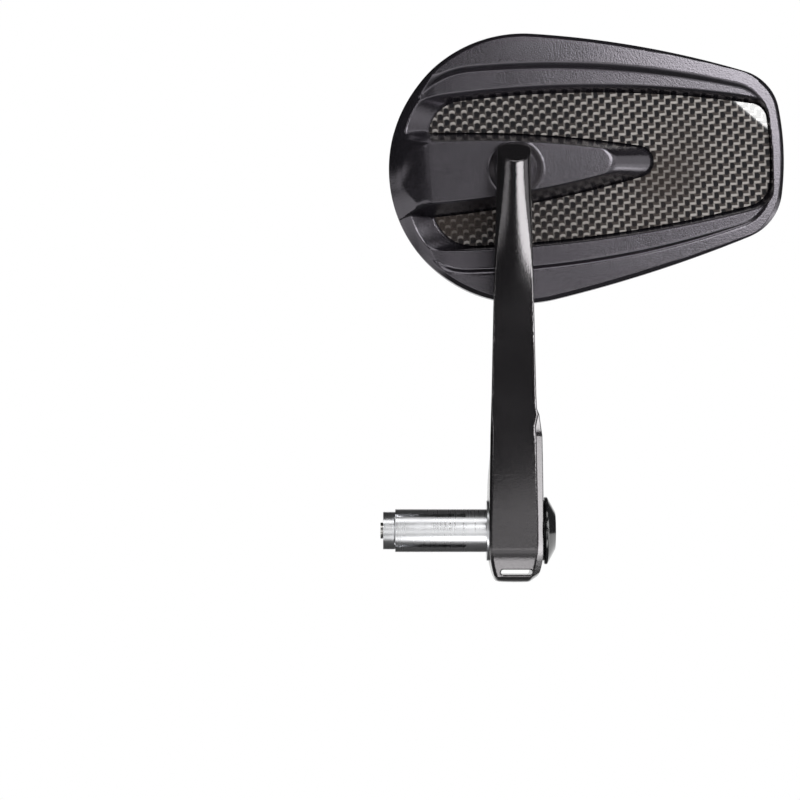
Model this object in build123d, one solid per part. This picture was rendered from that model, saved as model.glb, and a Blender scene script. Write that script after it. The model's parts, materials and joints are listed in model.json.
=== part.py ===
from build123d import *
import os
from math import atan2, cos, hypot, pi, radians, sin, sqrt

os.makedirs("parts", exist_ok=True)

# Bar end: X runs along the handlebar, and X = 0 is the end face of its tube
sleeve_radius = 8.0
sleeve_length = 34.0
slit_width = 1.5
slit_length = 26.0
slit_count = 4
slit_turn = 45.0
bolt_radius = 3.0
bolt_clearance = 0.3
bolt_head_radius = 5.0
bolt_head_length = 6.0
bolt_head_sink = 0.8
bolt_key_across = 5.0
bolt_tip = 1.0
thread_clearance = 0.05
spring_washer_thickness = 1.2
spring_washer_split = 0.6
spring_washer_skew = 12.0
cone_nut_length = 13.0
cone_nut_rim = 4.0
cone_nut_radius = 7.0
cone_nut_reach = 8.5
cone_slope = 0.27
cone_clearance = 0.05
flange_radius = 11.2
flange_thickness = 2.2
flange_gap = 0.3
spigot_radius = 8.0
spigot_shortfall = 0.4
bore_clearance = 0.08
washer_thickness = 0.7
washer_clearance = 0.15

# End cap
cap_radius = 12.6
cap_rim = 1.2
cap_cone = 3.0
cap_face_radius = 7.1
cap_gap = 0.3
hub_radius = 6.3
hub_clearance = 0.2
hub_floor = 2.2

# Arm: Z runs up the arm, and -Y is the side seen from in front of the bike
arm_gap = 0.4
arm_width = 20.6
outer_seat_depth = 1.0
shoulder_top = 43.5
shoulder_bottom = 35.0
shoulder_half = 9.7
neck_top = 47.0
neck_half = 8.4
neck_front = 11.0
neck_rear = 5.4
block_front = 15.8
front_swell = 15.3
front_swell_height = 18.0
block_rear = 15.0
block_crease = 8.8
block_edge = 1.8
heel_height = 12.0
foot_drop = 18.9
foot_half = 7.6
foot_start = 3.5
foot_bow = 0.5
slot_top = 14.3
slot_height = 1.9
slot_width = 11.5
shaft_sink = 5.0
shaft_sections = 5
shaft_overrun = 4.0
shaft_half_foot = 8.7
shaft_half_top = 6.2
shaft_front_foot = -13.8
shaft_front_top = 1.2
shaft_rear_foot = 5.0
shaft_rear_top = 14.4
shaft_corner_foot = 1.6
shaft_corner_top = 6.0
shaft_lean_foot = -0.9
shaft_lean_top = 0.1
top_rise = 6.5
top_facet = 6.5
facet_inset = 0.9
facet_angle = 45.0
top_corner = 9.0

# Ball stud and its pivot in the mirror head
ball_radius = 6.5
ball_height = 139.5
ball_side = 0.72
stud_reach = 14.0
stud_neck_radius = 3.2
collar_across = 9.0
collar_start = 10.8
shank_radius = 4.0
shank_length = 7.0
pad_radius = 5.4
pad_cut = 0.28
liner_thickness = 0.9
liner_clearance = 0.08
liner_mouth = 58.0
liner_edge = 86.0
socket_mouth = 54.0
seat_clearance = 0.1
seat_top_drop = 2.6
seat_hole_radius = 3.2
seat_floor = 0.6
spring_thickness = 0.7
spring_bore = 4.5

# Mirror head: u runs along it, v across it, and h out of its back, from the rim plane
head_tilt = 2.0
head_roll = 3.9
rim_circles = [(4.0, -0.4, 52.0), (86.0, 14.1, 18.0), (83.0, -13.4, 20.2)]
rim_bulges = (372.0, 106.0, 528.0)
rim_chamfer = 0.8
wall_top = 10.2
eave = 1.1
roof_run = 12.0
roof_slope = 0.07
end_left = -48.0
end_low = 6.4
end_box = (40.0, 120.0, 20.0)
plateau = 10.0
step_circles = [(-13.8, 8.7, 29.4), (85.0, 11.7, 14.1), (83.8, -13.2, 14.3), (-19.0, -13.9, 23.9)]
step_bulges = (360.0, 300.0, 375.0, 150.0)
step_spread = 3.0
step_climb = 3.3
floor_height = 5.3
floor_circles = [(-18.0, 13.7, 13.9), (92.5, 12.2, 7.0), (89.1, -11.1, 9.7), (-16.2, -13.2, 15.8)]
floor_bulges = (423.0, 124.0, 495.0, 200.0)
mouth_circles = [(-33.5, 17.6, 12.3), (94.0, 15.5, 6.2), (92.4, -14.5, 8.3), (-34.4, -19.7, 10.8)]
mouth_bulges = (425.0, 198.0, 509.0, 202.0)
mouth_rise = 1.2
boss_top = 17.0
boss_edge = 0.8
boss_drop = 0.5
boss_corner = 2.0
boss_end_bulge = 900.0
boss_foot_left = -50.0
boss_foot_half = 16.4
boss_foot_tip = 48.4
boss_foot_tip_radius = 6.0
boss_foot_bulge = 440.0
boss_face_left = -35.3
boss_face_half = 12.0
boss_face_tip = 34.2
boss_face_tip_radius = 5.2
boss_face_bulge = 370.0
ball_sink = 6.0
dish_radius = 10.5
dish_floor_radius = 7.8
lip = 2.2
glass_bend = 1400.0
glass_middle = (27.0, 0.0)
glass_proud = 1.0
glass_thickness = 2.0
glass_gap = 0.25
pad_thickness = 0.8
hollow_rim = 4.0
hollow_top = 8.2
hollow_wall = 2.4
tape_thickness = 0.3
inlay_thickness = 1.0
inlay_gap = 0.2
plate_radius = 14.5
plate_thickness = 1.4
plate_clearance = 0.2
plate_hole_radius = 2.5
screw_count = 3
screw_circle = 10.9
screw_radius = 1.5
screw_head_radius = 2.8
screw_length = 7.5
screw_clearance = 0.05
screw_hole_extra = 1.0

from_base = (Align.CENTER, Align.CENTER, Align.MIN)

# Stations worked out from the sizes above
inner_washer_x = flange_thickness
inner_seat_x = inner_washer_x + washer_thickness
arm_outer_x = arm_gap + arm_width
arm_middle_x = arm_gap + arm_width / 2
outer_seat_x = arm_outer_x - outer_seat_depth
cap_pilot_x = outer_seat_x + washer_thickness
cap_rim_x = arm_outer_x + cap_gap
cap_face_x = cap_rim_x + cap_rim + cap_cone
head_seat_x = cap_face_x - bolt_head_sink - bolt_head_length
hub_floor_x = head_seat_x - spring_washer_thickness
hub_end_x = hub_floor_x - hub_floor
spigot_end_x = outer_seat_x - spigot_shortfall
nut_end_x = cone_nut_reach - sleeve_length - cone_nut_length
nose_radius = cone_nut_radius - cone_slope * (cone_nut_length - cone_nut_rim)
head_bore = bolt_head_radius + bolt_clearance
bolt_hole = bolt_radius + bolt_clearance
flange_recess = flange_radius + flange_gap
shaft_start = shoulder_bottom - shaft_sink
shaft_top = ball_height + top_rise
shaft_end = shaft_top + shaft_overrun
ball_h = boss_top - ball_sink
liner_inner = ball_radius + liner_clearance
liner_outer = liner_inner + liner_thickness
socket_radius = liner_outer + liner_clearance
mouth_h = ball_h + socket_radius * cos(radians(socket_mouth))
seat_bottom = ball_h - sqrt((ball_radius + seat_clearance) ** 2 - seat_hole_radius ** 2) - seat_floor
plate_top = seat_bottom - spring_thickness
plate_rear = plate_top - plate_thickness
screw_tip = plate_rear + screw_length


# Sideways shift, half width, front, rear and corner radius of the arm's shaft at a height
def shaft_at(height):
    rise = (height - shaft_start) / (shaft_end - shaft_start)
    blend = rise ** 2 * (3 - 2 * rise)
    shift = shaft_lean_foot + (shaft_lean_top - shaft_lean_foot) * rise ** 2
    half = shaft_half_foot + (shaft_half_top - shaft_half_foot) * rise
    front = shaft_front_foot + (shaft_front_top - shaft_front_foot) * rise
    rear = shaft_rear_foot + (shaft_rear_top - shaft_rear_foot) * rise
    corner = shaft_corner_foot + (shaft_corner_top - shaft_corner_foot) * blend
    return shift, half, front, rear, corner


ball_x = arm_middle_x + ball_side
crown_x = arm_middle_x + shaft_at(ball_height)[0]
pad_depth = shaft_at(ball_height)[3] - pad_cut
ball_y = pad_depth + stud_reach


# Shared shapes: rings turned about an axis, and discs along the bar or out of the head
def turned(points, along=Axis.Z):
    outline = Plane.XZ * make_face(Polyline(*points, close=True))
    ring = revolve(outline, Axis.Z)
    return Rot(0, 90, 0) * ring if along == Axis.X else ring


def bar_disc(radius, start, stop):
    return Pos(start, 0, 0) * Rot(0, 90, 0) * Cylinder(radius, stop - start, align=from_base)


def head_disc(radius, start, stop):
    return Pos(0, 0, start) * Cylinder(radius, stop - start, align=from_base)


def hexagon(across, start, stop):
    return Pos(0, 0, start) * extrude(RegularPolygon(across / 2, 6, major_radius=False), stop - start)


# Outlines: a wide arc is wrapped over each pair of neighbouring corner circles
def wide_centre(a, b, bulge):
    gap = hypot(b[0] - a[0], b[1] - a[1])
    along = ((bulge - a[2]) ** 2 - (bulge - b[2]) ** 2 + gap ** 2) / (2 * gap)
    across = sqrt((bulge - a[2]) ** 2 - along ** 2)
    du, dv = (b[0] - a[0]) / gap, (b[1] - a[1]) / gap
    return a[0] + along * du + across * dv, a[1] + along * dv - across * du


def arc_edge(centre, radius, start, stop):
    first = atan2(start[1] - centre[1], start[0] - centre[0])
    last = atan2(stop[1] - centre[1], stop[0] - centre[0])
    half = ((first - last) % (2 * pi)) / 2
    middle = (centre[0] + radius * cos(first - half), centre[1] + radius * sin(first - half))
    return ThreePointArc(start, middle, stop)


def wrapped_outline(circles, bulges, inset=0.0):
    circles = [(u, v, r - inset) for u, v, r in circles]
    leave, arrive, wide = {}, {}, []
    for i, bulge in enumerate(bulges):
        k = (i + 1) % len(circles)
        reach = bulge - inset
        centre = wide_centre(circles[i], circles[k], reach)
        for spot, place in ((i, leave), (k, arrive)):
            du, dv = circles[spot][0] - centre[0], circles[spot][1] - centre[1]
            place[spot] = (centre[0] + du * reach / hypot(du, dv), centre[1] + dv * reach / hypot(du, dv))
        wide.append((centre, reach))
    edges = []
    for i, (u, v, r) in enumerate(circles):
        edges.append(arc_edge((u, v), r, arrive[i], leave[i]))
        edges.append(arc_edge(*wide[i], leave[i], arrive[(i + 1) % len(circles)]))
    return make_face(edges)


def rim_outline(inset=0.0):
    return wrapped_outline(rim_circles, rim_bulges, inset)


def step_outline(grow=0.0):
    return wrapped_outline(step_circles, step_bulges, -grow)


def recess_floor(inset=0.0):
    return wrapped_outline(floor_circles, floor_bulges, inset)


def recess_mouth(grow=0.0):
    return wrapped_outline(mouth_circles, mouth_bulges, -grow)


def tongue_outline(left_u, left_half, tip_u, tip_radius, bulge, inset):
    left = (left_u + boss_corner, left_half - boss_corner, boss_corner)
    circles = [left, (tip_u, 0, tip_radius), (left[0], -left[1], boss_corner)]
    return Pos(0, -boss_drop) * wrapped_outline(circles, (bulge, bulge, boss_end_bulge), inset)


def boss_foot(grow=0.0):
    tip = (boss_foot_tip, boss_foot_tip_radius)
    return tongue_outline(boss_foot_left, boss_foot_half, *tip, boss_foot_bulge, -grow)


def boss_face(inset=0.0):
    tip = (boss_face_tip, boss_face_tip_radius)
    return tongue_outline(boss_face_left, boss_face_half, *tip, boss_face_bulge, inset)


def prism(outline, start, stop):
    return extrude(Pos(0, 0, start) * outline, stop - start)


def between(lower, lower_h, upper, upper_h):
    return loft([Pos(0, 0, lower_h) * lower, Pos(0, 0, upper_h) * upper], ruled=True)


def dome(inward):
    centre = Pos(*glass_middle, glass_bend - glass_proud)
    return centre * Rot(90, 0, 0) * Sphere(glass_bend - inward)


def bent_sheet(inset, front, back):
    slab = prism(rim_outline(inset), -2 * glass_proud, wall_top)
    return (slab & dome(front)) - dome(back)


# Bar end pieces
def make_sleeve():
    throat = nose_radius + cone_clearance
    mouth = throat + cone_slope * cone_nut_reach
    inner_end = cone_nut_reach - sleeve_length
    flare = [(0, -sleeve_length), (mouth, -sleeve_length), (throat, inner_end), (0, inner_end)]
    tube = bar_disc(sleeve_radius, -sleeve_length, 0) - bar_disc(bolt_hole, -sleeve_length, 0)
    tube -= turned(flare, Axis.X)
    cutter = Box(slit_length, 2 * sleeve_radius, slit_width, align=(Align.MIN, Align.MIN, Align.CENTER))
    for i in range(slit_count):
        tube -= Rot(360 / slit_count * i + slit_turn, 0, 0) * Pos(-sleeve_length, 0, 0) * cutter
    return tube


def make_cone_nut():
    thread = bolt_radius + thread_clearance
    points = [(thread, 0), (cone_nut_radius, 0), (cone_nut_radius, cone_nut_rim)]
    points += [(nose_radius, cone_nut_length), (thread, cone_nut_length)]
    return Pos(nut_end_x, 0, 0) * turned(points, Axis.X)


def make_bolt():
    head = bar_disc(bolt_head_radius, head_seat_x, head_seat_x + bolt_head_length)
    key = hexagon(bolt_key_across, bolt_head_length / 2, bolt_head_length)
    head -= Pos(head_seat_x, 0, 0) * Rot(0, 90, 0) * key
    return head + bar_disc(bolt_radius, nut_end_x - bolt_tip, head_seat_x)


def make_spring_washer():
    ring = bar_disc(bolt_head_radius, hub_floor_x, head_seat_x)
    ring -= bar_disc(bolt_hole, hub_floor_x, head_seat_x)
    gap = Box(2 * spring_washer_thickness, spring_washer_split, 2 * bolt_head_radius, align=from_base)
    return ring - Pos(hub_floor_x + spring_washer_thickness / 2, 0, 0) * Rot(0, 0, spring_washer_skew) * gap


def make_adapter():
    body = bar_disc(flange_radius, 0, flange_thickness) + bar_disc(spigot_radius, 0, spigot_end_x)
    body -= bar_disc(hub_radius + hub_clearance, hub_end_x - hub_clearance, spigot_end_x)
    return body - bar_disc(bolt_hole, 0, spigot_end_x)


def make_washer(start):
    stop = start + washer_thickness
    return bar_disc(flange_radius, start, stop) - bar_disc(spigot_radius + washer_clearance, start, stop)


def make_cap():
    points = [(bolt_hole, hub_end_x), (hub_radius, hub_end_x), (hub_radius, cap_pilot_x)]
    points += [(flange_radius, cap_pilot_x), (flange_radius, cap_rim_x), (cap_radius, cap_rim_x)]
    points += [(cap_radius, cap_rim_x + cap_rim), (cap_face_radius, cap_face_x), (head_bore, cap_face_x)]
    points += [(head_bore, hub_floor_x), (bolt_hole, hub_floor_x)]
    return turned(points, Axis.X)


# Arm pieces
def make_shaft():
    sections = []
    for i in range(shaft_sections):
        height = shaft_start + (shaft_end - shaft_start) * i / (shaft_sections - 1)
        shift, half, front, rear, corner = shaft_at(height)
        section = RectangleRounded(2 * half, rear - front, corner)
        sections.append(Pos(arm_middle_x + shift, (front + rear) / 2, height) * section)
    shaft = loft(sections)
    crown = extrude(RectangleRounded(arm_width, 2 * shaft_top, top_corner), 2 * arm_width, both=True)
    shaft &= Pos(crown_x, 0, 0) * Rot(90, 0, 0) * crown
    facet_z = shaft_top - top_facet
    facet_y = shaft_at(facet_z)[2] + facet_inset
    facet = Box(2 * arm_width, 2 * arm_width, 2 * arm_width, align=from_base)
    return shaft - Pos(crown_x, facet_y, facet_z) * Rot(facet_angle, 0, 0) * facet


def make_block():
    half = arm_width / 2
    shoulder = (shoulder_half, shoulder_bottom)
    right = Polyline((neck_half, shoulder_top), shoulder, (half, 0), (half, -foot_start))
    curl = TangentArc((half, -foot_start), (foot_half, -foot_drop), tangent=(0, -1))
    left = [mirror(edge, Plane.YZ) for edge in (*right.edges(), *curl.edges())]
    sole = ThreePointArc((foot_half, -foot_drop), (0, -foot_drop - foot_bow), (-foot_half, -foot_drop))
    lid = Line((neck_half, shoulder_top), (-neck_half, shoulder_top))
    face = make_face([*right.edges(), curl, *left, sole, lid])
    front_form = extrude(Plane.XZ * face, 2 * block_front, both=True)
    front_middle = (-front_swell, front_swell_height)
    front = ThreePointArc((-neck_front, neck_top), front_middle, (-block_front, -block_crease))
    middle_y = (block_rear - block_front) / 2
    belly = ThreePointArc(front @ 1, (middle_y, -foot_drop - foot_bow), (block_rear, -block_crease))
    rear = Polyline(belly @ 1, (block_rear, heel_height), (neck_rear, neck_top), front @ 0)
    side_form = extrude(Plane.YZ * make_face([front, belly, *rear.edges()]), arm_width, both=True)
    block = front_form & side_form
    around = [edge for edge in block.edges() if abs((edge % 0.5).X) < 0.6]
    around = [edge for edge in around if abs((edge @ 0.5).Y) > block_edge or (edge @ 0.5).Z < -block_crease]
    return Pos(arm_middle_x, 0, 0) * chamfer(around, block_edge)


def make_arm():
    body = make_shaft() + make_block()
    body -= bar_disc(spigot_radius + bore_clearance, 0, arm_outer_x)
    body -= bar_disc(flange_recess, 0, inner_seat_x)
    body -= bar_disc(flange_recess, outer_seat_x, arm_outer_x + cap_gap)
    slot = Box(slot_width, 4 * block_front, slot_height)
    body -= Pos(arm_middle_x, 0, -slot_top - slot_height / 2) * slot
    stud_side = Pos(ball_x, pad_depth, ball_height) * Rot(-90, 0, 0)
    body -= stud_side * head_disc(pad_radius, 0, stud_reach)
    return body - stud_side * head_disc(shank_radius + thread_clearance, -shank_length, 0)


def make_stud():
    stud = Sphere(ball_radius) + head_disc(stud_neck_radius, 0, collar_start)
    stud += hexagon(collar_across, collar_start, stud_reach)
    stud += head_disc(shank_radius, stud_reach, stud_reach + shank_length)
    return Pos(ball_x, ball_y, ball_height) * Rot(90, 0, 0) * stud


# Mirror head pieces, in u, v and h
def make_housing():
    on_base = (Align.CENTER, Align.CENTER, Align.MIN)
    roof_top = wall_top + eave + roof_run * roof_slope
    body = between(rim_outline(rim_chamfer), 0, rim_outline(), rim_chamfer)
    body += prism(rim_outline(), rim_chamfer, wall_top)
    body += between(rim_outline(), wall_top, rim_outline(eave), wall_top + eave)
    body += between(rim_outline(eave), wall_top + eave, rim_outline(eave + roof_run), roof_top)
    body -= between(step_outline(), plateau, step_outline(step_spread), plateau + step_climb)
    body -= between(recess_floor(), floor_height, recess_mouth(), plateau + mouth_rise)
    body -= Pos(end_left, 0, end_low) * Rot(0, -45, 0) * Box(*end_box, align=on_base)
    boss = between(boss_foot(), floor_height, boss_face(), boss_top - boss_edge)
    boss += between(boss_face(), boss_top - boss_edge, boss_face(boss_edge), boss_top)
    body += boss & prism(rim_outline(eave), 0, boss_top)
    body -= prism(rim_outline(lip), -2 * glass_proud, wall_top) - dome(glass_thickness + pad_thickness)
    kept = prism(recess_mouth(hollow_wall), 0, hollow_top)
    body -= prism(rim_outline(hollow_rim), 0, hollow_top) - kept
    body -= Pos(0, 0, ball_h) * Sphere(socket_radius) + head_disc(socket_radius, 0, ball_h)
    body -= head_disc(dish_floor_radius, mouth_h, boss_top)
    body -= turned([(0, mouth_h), (dish_floor_radius, mouth_h), (dish_radius, boss_top), (0, boss_top)])
    body -= head_disc(plate_radius + plate_clearance, 0, plate_top)
    for spot in screw_spots():
        body -= spot * head_disc(screw_radius + screw_clearance, 0, screw_tip + screw_hole_extra)
    return body


def screw_spots():
    turn = 360 / screw_count
    return [Rot(0, 0, turn * i) * Pos(screw_circle, 0, 0) for i in range(screw_count)]


def make_inlay(start, thickness, gap):
    sheet = prism(recess_floor(gap), start, start + thickness)
    return sheet - prism(boss_foot(gap), start, start + thickness)


def make_liner():
    def polar(radius, angle):
        return radius * sin(radians(angle)), ball_h + radius * cos(radians(angle))

    middle = (liner_mouth + liner_edge) / 2
    outer = ThreePointArc(*[polar(liner_outer, a) for a in (liner_mouth, middle, liner_edge)])
    inner = ThreePointArc(*[polar(liner_inner, a) for a in (liner_edge, middle, liner_mouth)])
    ends = [Line(outer @ 1, inner @ 0), Line(inner @ 1, outer @ 0)]
    return revolve(Plane.XZ * make_face([outer, ends[0], inner, ends[1]]), Axis.Z)


def make_seat():
    seat = head_disc(socket_radius - seat_clearance, seat_bottom, ball_h - seat_top_drop)
    seat -= head_disc(seat_hole_radius, seat_bottom, ball_h)
    return seat - Pos(0, 0, ball_h) * Sphere(ball_radius + seat_clearance)


def make_spring():
    ring = head_disc(socket_radius - seat_clearance, plate_top, seat_bottom)
    return ring - head_disc(spring_bore, plate_top, seat_bottom)


def make_plate():
    plate = head_disc(plate_radius, plate_rear, plate_top)
    plate -= head_disc(plate_hole_radius, plate_rear, plate_top)
    for spot in screw_spots():
        plate -= spot * make_screw(screw_clearance)
    return plate


def make_screw(grow=0.0):
    sink = screw_head_radius - screw_radius
    points = [(0, plate_rear), (screw_head_radius + grow, plate_rear)]
    points += [(screw_radius + grow, plate_rear + sink), (screw_radius + grow, screw_tip), (0, screw_tip)]
    return turned(points)


head_turn = Rot(90 + head_tilt, 0, 0) * Rot(0, 0, head_roll)
head_place = Pos(ball_x, ball_y, ball_height) * head_turn * Pos(0, 0, -ball_h)

pieces = {
    "bar_adapter": make_adapter(),
    "expander_sleeve": make_sleeve(),
    "expander_cone_nut": make_cone_nut(),
    "expander_bolt": make_bolt(),
    "spring_washer": make_spring_washer(),
    "end_cap": make_cap(),
    "inner_thrust_washer": make_washer(inner_washer_x),
    "outer_thrust_washer": make_washer(outer_seat_x),
    "arm": make_arm(),
    "ball_stud": make_stud(),
    "ball_liner": head_place * make_liner(),
    "ball_rear_seat": head_place * make_seat(),
    "seat_spring": head_place * make_spring(),
    "mirror_housing": head_place * make_housing(),
    "inlay_tape": head_place * make_inlay(floor_height, tape_thickness, inlay_gap * 2),
    "carbon_inlay": head_place * make_inlay(floor_height + tape_thickness, inlay_thickness, inlay_gap),
    "clamp_plate": head_place * make_plate(),
    "clamp_screws": head_place * Compound(children=[spot * make_screw() for spot in screw_spots()]),
    "glass_pad": head_place * bent_sheet(lip + glass_gap, glass_thickness, glass_thickness + pad_thickness),
    "mirror_glass": head_place * bent_sheet(lip + glass_gap, 0, glass_thickness),
}

for name, piece in pieces.items():
    export_step(piece, f"parts/{name}.step")
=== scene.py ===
import json
from math import atan2, ceil, cos, hypot, pi, radians, sin, sqrt

import bmesh
import bpy
import numpy as np
from mathutils import Euler, Matrix, Vector
from mathutils.geometry import delaunay_2d_cdt

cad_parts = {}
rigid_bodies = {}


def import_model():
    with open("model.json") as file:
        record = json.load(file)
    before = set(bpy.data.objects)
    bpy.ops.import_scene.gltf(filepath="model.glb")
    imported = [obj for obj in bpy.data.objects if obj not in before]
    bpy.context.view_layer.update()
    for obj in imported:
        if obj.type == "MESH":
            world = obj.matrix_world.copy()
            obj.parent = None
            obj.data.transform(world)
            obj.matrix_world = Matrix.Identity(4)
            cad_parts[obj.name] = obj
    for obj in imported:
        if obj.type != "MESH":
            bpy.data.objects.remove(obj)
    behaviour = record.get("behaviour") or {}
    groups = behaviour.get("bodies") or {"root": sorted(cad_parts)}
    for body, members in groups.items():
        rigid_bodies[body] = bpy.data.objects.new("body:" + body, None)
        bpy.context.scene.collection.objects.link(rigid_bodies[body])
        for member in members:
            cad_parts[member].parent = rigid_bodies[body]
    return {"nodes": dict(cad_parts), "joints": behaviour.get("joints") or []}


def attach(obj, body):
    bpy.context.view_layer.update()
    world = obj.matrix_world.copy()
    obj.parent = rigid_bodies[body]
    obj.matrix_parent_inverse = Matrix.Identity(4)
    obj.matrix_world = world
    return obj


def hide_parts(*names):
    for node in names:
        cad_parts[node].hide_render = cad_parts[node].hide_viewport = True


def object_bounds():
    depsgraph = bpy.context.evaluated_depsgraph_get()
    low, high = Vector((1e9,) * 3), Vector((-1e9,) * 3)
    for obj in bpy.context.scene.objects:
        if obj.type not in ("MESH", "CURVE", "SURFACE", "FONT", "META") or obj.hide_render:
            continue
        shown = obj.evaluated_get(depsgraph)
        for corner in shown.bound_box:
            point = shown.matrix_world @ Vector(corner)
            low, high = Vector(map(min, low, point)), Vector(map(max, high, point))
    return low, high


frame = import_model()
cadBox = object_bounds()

mm = 0.001
print("frame loaded:", len(frame["nodes"]), "nodes")


# shader maths: a wire is a socket that can be used in expressions
class Wire:
    def __init__(self, tree, socket=None):
        self.tree = tree
        self.socket = socket

    def node(self, kind, settings=None, values=None, out=0):
        made = self.tree.nodes.new(kind)
        for name, value in (settings or {}).items():
            setattr(made, name, value)
        for key, value in (values or {}).items():
            if isinstance(value, Wire):
                self.tree.links.new(value.socket, made.inputs[key])
            else:
                made.inputs[key].default_value = value
        return Wire(self.tree, made.outputs[out])

    def math(self, operation, *terms):
        return self.node("ShaderNodeMath", {"operation": operation}, dict(enumerate(terms)))

    def __add__(self, other):
        return self.math("ADD", self, other)

    def __sub__(self, other):
        return self.math("SUBTRACT", self, other)

    def __rsub__(self, other):
        return self.math("SUBTRACT", other, self)

    def __mul__(self, other):
        return self.math("MULTIPLY", self, other)

    def __truediv__(self, other):
        return self.math("DIVIDE", self, other)

    def __abs__(self):
        return self.math("ABSOLUTE", self)

    __radd__ = __add__
    __rmul__ = __mul__

    def floor(self):
        return self.math("FLOOR", self)

    def wrapped(self, low, high):
        return self.math("WRAP", self, high, low)

    def larger(self, other):
        return self.math("MAXIMUM", self, other)

    def eased(self, low, high, start=0.0, stop=1.0):  # soft step between two values
        values = {"Value": self, "From Min": low, "From Max": high, "To Min": start, "To Max": stop}
        return self.node("ShaderNodeMapRange", {"interpolation_type": "SMOOTHSTEP"}, values)

    def tint(self, low, high):  # colour between two colours
        return self.node("ShaderNodeMix", {"data_type": "RGBA"}, {0: self, 6: low, 7: high}, out=2)

    def noise(self, scale, detail=2.0):
        return self.node("ShaderNodeTexNoise", {}, {"Vector": self, "Scale": scale, "Detail": detail})

    def stretched(self, scale):
        return self.node("ShaderNodeMapping", {}, {"Vector": self, "Scale": scale})

    def bumped(self, distance, strength=1.0):
        return self.node("ShaderNodeBump", {}, {"Height": self, "Distance": distance, "Strength": strength})

    def feeds(self, shader, socket):
        self.tree.links.new(self.socket, shader.inputs[socket])


def newFinish(name, constants):
    finish = bpy.data.materials.new(name)
    finish.use_nodes = True
    shader = finish.node_tree.nodes["Principled BSDF"]
    for socket, value in constants.items():
        shader.inputs[socket].default_value = value
    place = Wire(finish.node_tree).node("ShaderNodeTexCoord", out="Object")
    return finish, shader, place


def gray(level):
    return (level, level, level, 1.0)


def placed(name, data):  # new object in the scene
    made = bpy.data.objects.new(name, data)
    bpy.context.scene.collection.objects.link(made)
    return made


# coated black: fine orange-peel grain, faint cloudiness
def satinBlack(name, look):
    finish, shader, place = newFinish(name, {"IOR": look["ior"], "Specular Tint": look["sheen"]})
    grain = place.noise(1 / look["grain"])
    cloud = place.noise(1 / look["cloud"])
    tone = 0.5 + (grain - 0.5) * look["speckle"] + (cloud - 0.5) * look["patches"]
    tone.tint(look["dark"], look["light"]).feeds(shader, "Base Color")
    rough = look["roughness"] + (cloud - 0.5) * look["roughPatches"] + (grain - 0.5) * look["roughGrain"]
    rough.feeds(shader, "Roughness")
    grain.bumped(look["relief"]).feeds(shader, "Normal")
    return finish


headLook = {
    "ior": 1.9, "sheen": (0.96, 0.905, 1.0, 1),
    "grain": 0.0006, "relief": 0.00004, "cloud": 0.014,  # metres
    "speckle": 1.4, "patches": 0.35, "dark": (0.001, 0.0009, 0.0012, 1), "light": (0.022, 0.0200, 0.0256, 1),
    "roughness": 0.2, "roughPatches": 0.06, "roughGrain": 0.1,
}
armLook = {
    **headLook, "sheen": (1.0, 0.96, 0.985, 1), "roughness": 0.15,
    "speckle": 1.0, "patches": 0.3, "dark": (0.001, 0.0009, 0.0011, 1), "light": (0.012, 0.0110, 0.0127, 1),
}
headSatin = satinBlack("satinHead", headLook)
armSatin = satinBlack("satinArm", armLook)


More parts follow.
